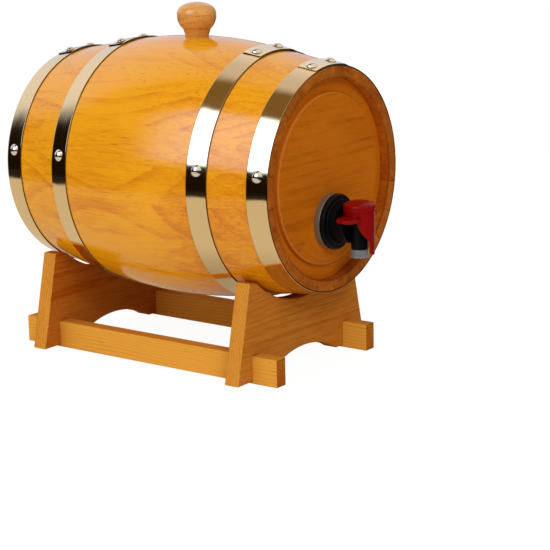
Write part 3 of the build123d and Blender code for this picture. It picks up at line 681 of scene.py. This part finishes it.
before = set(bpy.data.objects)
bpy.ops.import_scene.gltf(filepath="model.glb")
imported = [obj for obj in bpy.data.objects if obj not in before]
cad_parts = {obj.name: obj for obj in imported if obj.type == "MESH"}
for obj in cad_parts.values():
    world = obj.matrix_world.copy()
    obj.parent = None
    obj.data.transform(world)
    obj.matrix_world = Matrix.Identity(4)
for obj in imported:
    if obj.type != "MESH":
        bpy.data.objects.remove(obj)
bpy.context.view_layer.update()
chance = random.Random(22)


def dress(material, *nodes):
    """Gives carried-over CAD nodes a material."""
    for name in nodes:
        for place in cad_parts[name].material_slots:
            place.material = material


# ---- staves
def stave_depths():
    """Stations along a stave, close together where its section changes."""
    croze = (CROZE_MIDDLE - CROZE_WIDTH / 2, CROZE_MIDDLE + CROZE_WIDTH / 2)
    near = [0.0, STAVE_END_ROUND, RIM_CHAMFER, *STAVE_RIM_STATIONS]
    near += [croze[0], croze[0] + CROZE_LEAN, croze[1] - CROZE_LEAN, croze[1], STAVE_BELLY_START]
    far = [BARREL_LENGTH - depth for depth in reversed(near)]
    count = int((far[0] - near[-1]) / STAVE_STEP - 0.5)
    return near + [near[-1] + STAVE_STEP * step for step in range(1, count + 1)] + far


def stave_inside(depth):
    """Inside radius, with the croze and the chamfered mouth."""
    rim = min(depth, BARREL_LENGTH - depth)
    if abs(rim - CROZE_MIDDLE) < (CROZE_WIDTH - CROZE_LEAN) / 2:
        return radius_at(CROZE_MIDDLE) - STAVE_THICKNESS + CROZE_DEPTH
    return radius_at(depth) - STAVE_THICKNESS + max(0.0, RIM_CHAMFER - rim)


def stave_section(middle, half, depth, pull):
    """One closed section, pulled in at the very ends; its edge strips keep the joints' shading even."""
    outer, inner = radius_at(depth) - pull, stave_inside(depth) + pull
    edge = half - math.degrees(pull / outer) - STAVE_JOINT
    across = [-edge] + [(edge - STAVE_EDGE) * (step / 4 - 1) for step in range(9)] + [edge]
    points = [(middle - edge, inner)] + [(middle + angle, outer) for angle in across]
    points += [(middle + edge * (1 - step / 3), inner) for step in range(6)]
    return [on_barrel(angle, radius, depth) for angle, radius in points]


def make_stave(number):
    """One stave, sawn from its own place in a log; those under the bung are bored for it."""
    half = 180 / STAVE_COUNT
    middle = STAVE_TURN + number * 2 * half
    depths = stave_depths()
    shape = Shape()
    rings = []
    for depth in depths:
        pull = STAVE_END_ROUND if depth in (depths[0], depths[-1]) else 0.0
        rings.append(shape.ring(stave_section(middle, half, depth, pull)))
    for a, b in zip(rings, rings[1:]):
        shape.bridge(a, b)
    shape.cap(rings[0])
    shape.cap(rings[-1])
    heart = (chance.uniform(-22, 22), chance.uniform(14, 60), chance.uniform(0, 4000))
    lean, own = chance.uniform(-0.12, 0.12), chance.uniform(-0.10, 0.08)
    turned = Matrix.Rotation(math.radians(middle), 3, "Y")

    def grain(point):
        flat = turned @ (point - Vector((0, 0, AXIS_HEIGHT)))
        return flat.x + heart[0], flat.z - BULGE_RADIUS + heart[1] + lean * point.y, point.y + heart[2]

    def tone(point):
        """Painted shade: darker towards the front, most of all low down; the sawn end has the stave's own
        tone.
        """
        depth = point.y + CENTRE_DEPTH
        if depth < STAVE_END_ROUND / 2:
            return own
        front = share((SHADE_DEPTH - depth) / SHADE_FADE)
        low = share((AXIS_HEIGHT + SHADE_RISE - point.z) / SHADE_FADE)
        return own + front * (FRONT_PAINTED_SHADE + FRONT_LOW_PAINTED_SHADE * low)

    name = f"stave_{number + 1:02d}"
    piece = make_piece(f"{name}_board", shape, STAVE_WOOD, "barrel", [name], grain, tone)
    bored = half + math.degrees(math.asin(BUNG_HOLE_RADIUS / BULGE_RADIUS))
    if min(middle % 360, 360 - middle % 360) < bored:
        place = Matrix.Translation((0, MIDDLE - CENTRE_DEPTH, 0))
        drill(piece, BUNG_HOLE_RADIUS, AXIS_HEIGHT, BARREL_TOP + BUNG_DRILL_RISE, place, BUNG_HOLE_SEGMENTS)


# ---- heads
def make_head(name, front):
    """Turned disc with a raised middle; the front one is bored for the tap."""
    margin = radius_at(HEAD_DEPTH) - STAVE_THICKNESS - WOOD_FIT
    edge = radius_at(CROZE_MIDDLE) - STAVE_THICKNESS + CROZE_DEPTH - WOOD_FIT
    low, high = (CROZE_MIDDLE + sign * (CROZE_WIDTH / 2 - HEAD_PLAY) for sign in (-1, 1))
    back = HEAD_DEPTH + HEAD_THICKNESS
    panel = HEAD_DEPTH - PANEL_RISE
    corners = [
        (0, back, 0), (0, panel, 0), (PANEL_RADIUS, panel, PANEL_ROUND),
        (PANEL_RADIUS + PANEL_LEAN, HEAD_DEPTH, PANEL_FOOT_ROUND), (margin, HEAD_DEPTH, HEAD_ARRIS),
        (margin, low, 0), (edge, low, HEAD_ARRIS), (edge, high, HEAD_ARRIS), (margin, high, 0),
        (margin, back, HEAD_BACK_ARRIS),
    ]
    rim, turn = (0.0, -math.pi / 2) if front else (BARREL_LENGTH, math.pi / 2)
    place = Matrix.Translation((0, rim - CENTRE_DEPTH, AXIS_HEIGHT)) @ Matrix.Rotation(turn, 4, "X")
    shape = Shape()
    shape.lathe(soften(corners), place, HEAD_SEGMENTS)
    shift = (chance.uniform(0, 900), chance.uniform(60, 90))
    heart = FRONT_HEAD_HEART if front else REAR_HEAD_HEART

    def grain(point):
        return point.z - AXIS_HEIGHT + heart, point.y + shift[1], point.x + shift[0]

    def tone(point):
        # painted light on the head outside its panel, in the recess behind the rim
        return PANEL_TONE if math.hypot(point.x, point.z - AXIS_HEIGHT) < PANEL_RADIUS else HEAD_RECESS_PAINTED_LIGHT

    piece = make_piece(f"{name}_panel", shape, HEAD_WOOD, "barrel", [name], grain, tone)
    if front:
        place = place @ Matrix.Translation((0, TAP_DROP, 0))
        drill(piece, HEAD_HOLE_RADIUS, *HEAD_DRILL, place, TAP_HOLE_SEGMENTS)


# ---- hoops and rivets
def lap_level(angle):
    """How far out of the first layer the strip lies: it climbs on to itself just before its end."""
    climb = share((angle - (360 + LAP_START - LAP_RAMP)) / LAP_RAMP)
    return HOOP_THICKNESS * climb * climb * (3 - 2 * climb)


def hoop_angles():
    """Stations round a hoop: the first layer, the climb, the lap and its undercut end."""
    ramp, lap, end = 360 + LAP_START - LAP_RAMP, 360 + LAP_START, 360 + LAP_END
    first = LAP_START + HOOP_SETBACK
    count = int((ramp - first) / HOOP_STEP - 0.5)
    angles = [first + HOOP_STEP * step for step in range(count + 1)]
    angles += [ramp + LAP_RAMP * step / RAMP_STEPS for step in range(RAMP_STEPS + 1)]
    angles += [lap + LAP_STEP * step for step in range(1, LAP_STEPS + 1)]
    return angles + [end - LAP_UNDERCUT, end]


def make_hoop(name, start, end):
    """One strip wound once round the staves, with its end lapped over its beginning."""
    corners = ((start, HOOP_FIT), (end, HOOP_FIT), (end, HOOP_THICKNESS), (start, HOOP_THICKNESS))
    section = soften([(*corner, HOOP_ARRIS) for corner in corners], steps=3)
    angles = hoop_angles()
    shape = Shape()
    rings = []
    for angle in angles:
        level = lap_level(angle)
        back = LAP_UNDERCUT if angle == angles[-1] else 0.0
        rings.append(shape.ring(
            on_barrel(angle - back * (1 - rise / HOOP_THICKNESS), radius_at(depth) + level + rise, depth)
            for depth, rise in section
        ))
    for a, b in zip(rings, rings[1:]):
        shape.bridge(a, b)
    shape.cap(rings[0])
    shape.cap(rings[-1])
    make_piece(f"{name}_strip", shape, HOOP_METAL, "barrel", [f"{name}_hoop"])


def make_rivets(name, start, end):
    """Four domed rivets with their shanks."""
    depth = (start + end) / 2
    curve = (RIVET_HEAD_RADIUS**2 + RIVET_HEAD_HEIGHT**2) / (2 * RIVET_HEAD_HEIGHT)
    spread = math.degrees(math.asin(RIVET_HEAD_RADIUS / curve))
    crown = arc((0, RIVET_HEAD_HEIGHT - curve), curve, 90 - spread, 90, 12)
    crown[-1] = (0, RIVET_HEAD_HEIGHT)
    outline = [
        (0, -RIVET_SHANK_LENGTH), (RIVET_SHANK_RADIUS, -RIVET_SHANK_LENGTH), (RIVET_SHANK_RADIUS, 0.0),
        (RIVET_HEAD_RADIUS - RIVET_LIP, 0.0), (RIVET_HEAD_RADIUS, RIVET_LIP_RISE),
    ] + crown[1:]
    lean = TAPER if depth < MIDDLE else -TAPER
    shape = Shape()
    for angle in RIVET_ANGLES:
        layers = 2 if LAP_START < angle < LAP_END else 1
        foot = on_barrel(angle, radius_at(depth) + layers * HOOP_THICKNESS, depth)
        place = Matrix.Translation(foot) @ Matrix.Rotation(math.radians(-angle), 4, "Y")
        shape.lathe(outline, place @ Matrix.Rotation(lean, 4, "X"), RIVET_SEGMENTS)
    make_piece(f"{name}_domes", shape, RIVET_METAL, "barrel", [f"{name}_rivets"])


# ---- stand
BEARING_RADIUS = radius_at(FRONT_BOARD_DEPTH + BOARD_THICKNESS) + CRADLE_GAP
HORN_TOP = AXIS_HEIGHT - BEARING_RADIUS * math.cos(math.radians(SEAT_HALF_ANGLE))
HORN_OUTSIDE = BEARING_RADIUS * math.sin(math.radians(SEAT_HALF_ANGLE)) + HORN_LAND
FOOT_OUTSIDE = HORN_OUTSIDE + BOARD_SPLAY
RAIL_OUTSIDE = FOOT_OUTSIDE - RAIL_INSET


def seat_circle(front_face):
    """Height of the seat's centre and its radius, as in the CAD source."""
    widest = max(radius_at(front_face), radius_at(front_face + BOARD_THICKNESS))
    shoulder = math.sqrt((widest + CRADLE_GAP) ** 2 - (AXIS_HEIGHT - HORN_TOP) ** 2)
    bottom = AXIS_HEIGHT - widest - SEAT_RELIEF
    depth = HORN_TOP - bottom
    radius = (shoulder**2 + depth**2) / (2 * depth)
    return bottom + radius, radius


def board_outline(front_face):
    """Right half from the arch's middle round to the seat's lowest point, then mirrored; anticlockwise."""
    centre, radius = seat_circle(front_face)
    inner = RAIL_OUTSIDE - RAIL_WIDTH
    half_arch = inner - ARCH_FOOT
    arch_radius = (half_arch**2 + ARCH_HEIGHT**2) / (2 * ARCH_HEIGHT)
    arch_centre = BOARD_LIFT + ARCH_HEIGHT - arch_radius
    foot_turn = math.degrees(math.acos(half_arch / arch_radius))
    half = arc((0, arch_centre), arch_radius, 90, foot_turn, 14)[1:]
    half += [
        (inner - NOTCH_GAP, BOARD_LIFT), (inner - NOTCH_GAP, RAIL_HEIGHT + NOTCH_GAP),
        (RAIL_OUTSIDE + NOTCH_GAP, RAIL_HEIGHT + NOTCH_GAP), (RAIL_OUTSIDE + NOTCH_GAP, BOARD_LIFT),
        (FOOT_OUTSIDE, BOARD_LIFT), (HORN_OUTSIDE, HORN_TOP),
    ]
    rise = HORN_TOP - SHOULDER_ROUND - centre
    shoulder = (math.sqrt((radius + SHOULDER_ROUND) ** 2 - rise**2), HORN_TOP - SHOULDER_ROUND)
    toward = math.degrees(math.atan2(shoulder[1] - centre, shoulder[0]))
    half += arc(shoulder, SHOULDER_ROUND, 90, 180 + toward, 12)
    half += arc((0, centre), radius, toward, -90, 26)[1:-1]
    left = [(-x, z) for x, z in reversed(half)]
    return [(0, BOARD_LIFT + ARCH_HEIGHT)] + half + [(0, centre - radius)] + left


def lying(x, back):
    """Place of a slab whose height runs from a depth towards the front."""
    return Matrix.Translation((x, back - CENTRE_DEPTH, 0)) @ Matrix.Rotation(math.pi / 2, 4, "X")


def make_board(name, front_face):
    """Cradle board with its grain across the stand; the rear one's sheltered face, under the barrel, gets
    painted shade.
    """
    place = lying(0, front_face + BOARD_THICKNESS)
    shape = Shape()
    shape.slab(board_outline(front_face), place, BOARD_THICKNESS, STAND_ARRIS)
    shift = (chance.uniform(0, 900), chance.uniform(20, 60), chance.uniform(-30, 30))

    def grain(point):
        return point.z + BOARD_SLANT * point.x + shift[2], point.y + shift[1], point.x + shift[0]

    def tone(point):
        # painted shade on the rear board's face towards the barrel's middle
        sheltered = front_face > MIDDLE and point.y + CENTRE_DEPTH < front_face + FACE_DEPTH
        return SHELTERED_PAINTED_SHADE if sheltered else BOARD_TONE

    make_piece(f"{name}_panel", shape, STAND_WOOD, "stand", [name], grain, tone)


def make_rail(name, side):
    """Square bar under both boards, with its grain along it."""
    middle = side * (RAIL_OUTSIDE - RAIL_WIDTH / 2)
    half = RAIL_WIDTH / 2
    corners = ((-half, 0), (half, 0), (half, RAIL_HEIGHT), (-half, RAIL_HEIGHT))
    outline = soften([(*corner, STAND_ARRIS) for corner in corners], steps=3)
    shape = Shape()
    shape.slab(outline, lying(middle, RAIL_REAR), RAIL_REAR - RAIL_FRONT, STAND_ARRIS)
    shift = (chance.uniform(22, 40), chance.uniform(10, 20), chance.uniform(0, 900))

    def grain(point):
        return point.z + shift[0], point.x - middle + shift[1], point.y + shift[2]

    def tone(point):
        if point.y + CENTRE_DEPTH < RAIL_FRONT + FACE_DEPTH:
            return RAIL_END_TONE
        # painted light on the right rail, which lies in the barrel's shadow
        return RIGHT_RAIL_PAINTED_LIGHT if side > 0 else LEFT_RAIL_TONE

    make_piece(f"{name}_bar", shape, STAND_WOOD, "stand", [name], grain, tone)


# ---- bung
def dome(radius, low, high, shoulder, steps=10):
    """Points of two tangent arcs, from an upright side over to a level middle."""
    rise = high - low
    crown = ((radius - shoulder) ** 2 + rise**2 - shoulder**2) / (2 * (rise - shoulder))
    lean = math.degrees(math.atan2(radius - shoulder, crown - rise))
    side = arc((radius - shoulder, low), shoulder, 0, 90 - lean, steps)
    top = arc((0, high - crown), crown, 90 - lean, 90, steps)
    top[-1] = (0, high)
    return side + top[1:]


def make_bung():
    """Turned plug and knob: a flared neck, a swelling cheek, a fine seam and a domed top."""
    flare_base, knob = BARREL_TOP + BUNG_FLARE_RISE, BARREL_TOP + BUNG_KNOB_RISE
    rise, reach = knob - flare_base, BUNG_KNOB_RADIUS - BUNG_FLARE_RADIUS
    curve = (rise**2 + reach**2) / (2 * reach)
    turn = math.degrees(math.asin(rise / curve))
    foot = FILLER_TOP - PLUG_LENGTH
    outline = [
        (0, foot), (PLUG_RADIUS - PLUG_DRAFT, foot), (PLUG_RADIUS, FILLER_TOP),
        (BUNG_NECK_RADIUS, FILLER_TOP), (BUNG_NECK_RADIUS, BARREL_TOP),
        (BUNG_NECK_RADIUS + 0.05, BARREL_TOP + 0.4), (BUNG_FLARE_RADIUS - 0.25, flare_base - 0.7),
        (BUNG_FLARE_RADIUS - 0.35, flare_base - 0.3),
    ]
    outline += arc((BUNG_KNOB_RADIUS - curve, knob), curve, -turn, 0, 12)
    outline += [(BUNG_KNOB_RADIUS - BUNG_SEAM_DEPTH, knob + row) for row in BUNG_SEAM_ROWS[:2]]
    outline += dome(BUNG_KNOB_RADIUS, knob + BUNG_SEAM_ROWS[2], BARREL_TOP + BUNG_HEIGHT, BUNG_SHOULDER)
    shape = Shape()
    shape.lathe(outline, Matrix.Translation((0, MIDDLE - CENTRE_DEPTH, 0)), BUNG_SEGMENTS)

    def grain(point):
        return point.z - BARREL_TOP + BUNG_HEART[0], point.y + BUNG_HEART[1], point.x + BUNG_SLANT * point.y

    def tone(point):
        up = share((point.z - BARREL_TOP) / BUNG_HEIGHT)
        return BUNG_NECK_TONE + (BUNG_TOP_TONE - BUNG_NECK_TONE) * up

    make_piece("bung_knob", shape, BUNG_WOOD, "bung", ["bung"], grain, tone)


# ---- the pieces
for number in range(STAVE_COUNT):
    make_stave(number)
make_head("front_head", True)
make_head("rear_head", False)
for hoop_name, (hoop_start, hoop_end) in HOOPS.items():
    make_hoop(hoop_name, hoop_start, hoop_end)
    make_rivets(hoop_name, hoop_start, hoop_end)
make_bung()
make_board("front_board", FRONT_BOARD_DEPTH)
make_board("rear_board", REAR_BOARD_DEPTH)
make_rail("left_rail", -1)
make_rail("right_rail", 1)
dress(TAP_BLACK, "tap_body")
dress(TAP_RED, "grip_collar", "button")
dress(INSERT_CLEAR, "nozzle_insert")
dress(RING_METAL, "tap_ring")
dress(STEM_PLASTIC, "valve_stem")
dress(GLAND_PLASTIC, "tap_gland", "filler_gland")
dress(SEAL_RUBBER, "spigot_seal", "poppet_seal", "return_diaphragm")
dress(LINER_FOIL, "foil_liner")


# ---- floor, world, lamp and camera
FLOOR_RADIUS = 0.9
FLOOR_SIDES = 96
FLOOR_COLOUR = (0.85, 0.84, 0.82, 1)
FLOOR_SHEEN = (0.72, 0.59, 0.46, 1)
FLOOR_WHITE = 0.95
FLOOR_SHADOW = (0.09, 0.09, 0.09, 1)
SOFTBOX_COLOUR = (2.1, 2.7, 3.85)
WALL_COLOUR = (0.62, 0.62, 0.72)
CEILING_COLOUR = (0.22, 0.125, 0.04)
FRONT_COLOUR = (0.62, 0.60, 0.52)
EVEN_COLOUR = (1.0, 0.985, 0.955)
WHITE = (1, 1, 1, 1)
CAMERA_PLACE = (-1.03195, -0.81200, 0.36800)
CAMERA_YAW = 53.664
CAMERA_DOWN = 13.376
CAMERA_ROLL = -1.115
CAMERA_LENS = 117.51
CAMERA_SENSOR = 36.0


def make_floor():
    """Round pale table that shows white, keeps a faint shadow and is seen in the gloss."""
    mesh = bpy.data.meshes.new("floor")
    turns = [math.tau * k / FLOOR_SIDES for k in range(FLOOR_SIDES)]
    rim = [(FLOOR_RADIUS * math.cos(t), FLOOR_RADIUS * math.sin(t), 0) for t in turns]
    mesh.from_pydata(rim, [], [list(range(FLOOR_SIDES))])
    floor = bpy.data.objects.new("floor", mesh)
    bpy.context.scene.collection.objects.link(floor)
    material, g = new_material("floor_white")
    paths = g.add("LightPath")

    # to the camera: just short of white, topped up by a faint diffuse share that a shadow takes away
    bright = g.add("Emission", {"Color": WHITE, "Strength": FLOOR_WHITE})
    faint = g.add("BsdfDiffuse", {"Color": FLOOR_SHADOW})
    shown = g.add("AddShader", {0: bright.outputs[0], 1: faint.outputs[0]})

    # to gloss: a warm glow, weaker in front of the object and far from it, with a painted shadow right under
    # it
    place = g.add("TexCoord").outputs["Object"]
    away = g.add("VectorMath", {0: place}, operation="LENGTH").outputs["Value"]
    behind = g.ease(g.add("SeparateXYZ", {0: place}).outputs[1], -0.30, -0.14, 0.03, 1.0)
    # the dip in the glow right under the object is a painted shadow
    glow = g.product(g.ease(away, 0.58, 0.66, 1.0, 0.03), g.ease(away, 0.05, 0.15, 0.6, 1.0), behind)
    sheen = g.add("Emission", {"Color": FLOOR_SHEEN, "Strength": glow})

    diffuse = g.add("BsdfDiffuse", {"Color": FLOOR_COLOUR})
    choice = g.choose(paths.outputs["Is Glossy Ray"], diffuse, sheen)
    g.finish(g.choose(paths.outputs["Is Camera Ray"], choice, shown))
    mesh.materials.append(material)


def glossy_studio(g, x, y, z):
    """What gloss shows: a softbox at the left, a pale wall at the right, a warm ceiling, a glow in front."""
    side = g.total(g.product(x, 0.087), g.product(y, 0.996))
    top = g.math("MULTIPLY_ADD", g.math("MAXIMUM", g.math("SUBTRACT", side, 0.27), 0.0), 0.8, z)
    softbox = g.product(g.ease(side, 0.56, 0.28), g.ease(side, -0.35, -0.1), g.ease(z, 0.16, 0.23),
                        g.ease(top, 0.86, 0.81), g.ease(x, -0.15, -0.3))
    wall = g.product(g.ease(g.total(x, g.product(y, 0.65)), 0.20, 0.40), g.ease(z, -0.02, 0.08),
                     g.ease(y, 0.0, 0.25), g.ease(z, 0.55, 0.95, 1.25, 0.74))
    ceiling = g.ease(z, 0.3, 0.7, 0.05, 1.0)
    front = g.product(g.ease(y, 0.08, -0.12), g.ease(z, 0.0, 0.3))
    colour = g.tinted(softbox, SOFTBOX_COLOUR)
    for amount, tint in ((wall, WALL_COLOUR), (ceiling, CEILING_COLOUR), (front, FRONT_COLOUR)):
        colour = g.vector("ADD", colour, g.tinted(amount, tint))
    return colour


def even_light(g, x, y, z):
    """Light on everything dull: stronger from the left, from behind and from above."""
    slope = g.total(g.product(x, -0.32), g.product(y, 0.36), g.product(z, 0.16), 0.61)
    return g.tinted(g.math("MAXIMUM", slope, 0.0), EVEN_COLOUR)


def make_world():
    """White to the camera and through clear pieces, the studio to gloss, and an even light to all else."""
    world = bpy.data.worlds.new("studio")
    bpy.context.scene.world = world
    world.cycles.sampling_method = "NONE"
    g = Graph(world)
    paths = g.add("LightPath")
    x, y, z = g.add("SeparateXYZ", {0: g.add("TexCoord").outputs["Generated"]}).outputs
    light = g.mix(paths.outputs["Is Glossy Ray"], even_light(g, x, y, z), glossy_studio(g, x, y, z))
    studio = g.add("Background", {"Color": light, "Strength": 1.0})
    white = g.add("Background", {"Color": WHITE, "Strength": 1.0})
    seen = g.math("MAXIMUM", paths.outputs["Is Camera Ray"], paths.outputs["Is Transmission Ray"])
    g.finish(g.choose(seen, studio, white), "OutputWorld")


def make_lamp(name, place, target, size, power):
    """Soft square lamp that lights but isn't mirrored, because the world holds what gloss shows."""
    data = bpy.data.lights.new(name, "AREA")
    data.shape = "SQUARE"
    data.size = size
    data.energy = power
    lamp = bpy.data.objects.new(name, data)
    bpy.context.scene.collection.objects.link(lamp)
    lamp.location = place
    lamp.rotation_mode = "QUATERNION"
    lamp.rotation_quaternion = (Vector(target) - Vector(place)).to_track_quat("-Z", "Y")
    lamp.visible_glossy = False
    lamp.visible_camera = False


def make_camera():
    """The photo's camera: turned by its yaw, tilted down, then rolled about its own line of sight."""
    yaw, down, roll = (math.radians(a) for a in (CAMERA_YAW, CAMERA_DOWN, CAMERA_ROLL))
    ahead = Vector((math.sin(yaw) * math.cos(down), math.cos(yaw) * math.cos(down), -math.sin(down)))
    right = ahead.cross(Vector((0, 0, 1))).normalized()
    up = right.cross(ahead)
    rolled_right = right * math.cos(roll) + up * math.sin(roll)
    rolled_up = up * math.cos(roll) - right * math.sin(roll)
    data = bpy.data.cameras.new("camera")
    data.lens = CAMERA_LENS
    data.sensor_width = CAMERA_SENSOR
    camera = bpy.data.objects.new("camera", data)
    bpy.context.scene.collection.objects.link(camera)
    turn = Matrix((rolled_right, rolled_up, -ahead)).transposed()
    camera.matrix_world = Matrix.Translation(CAMERA_PLACE) @ turn.to_4x4()
    bpy.context.scene.camera = camera


make_floor()
make_world()
make_lamp("key", place=(-1.00, -1.35, 1.20), target=(0, 0, 0.12), size=0.6, power=11.5)
make_camera()
bpy.context.scene.view_settings.view_transform = "Standard"
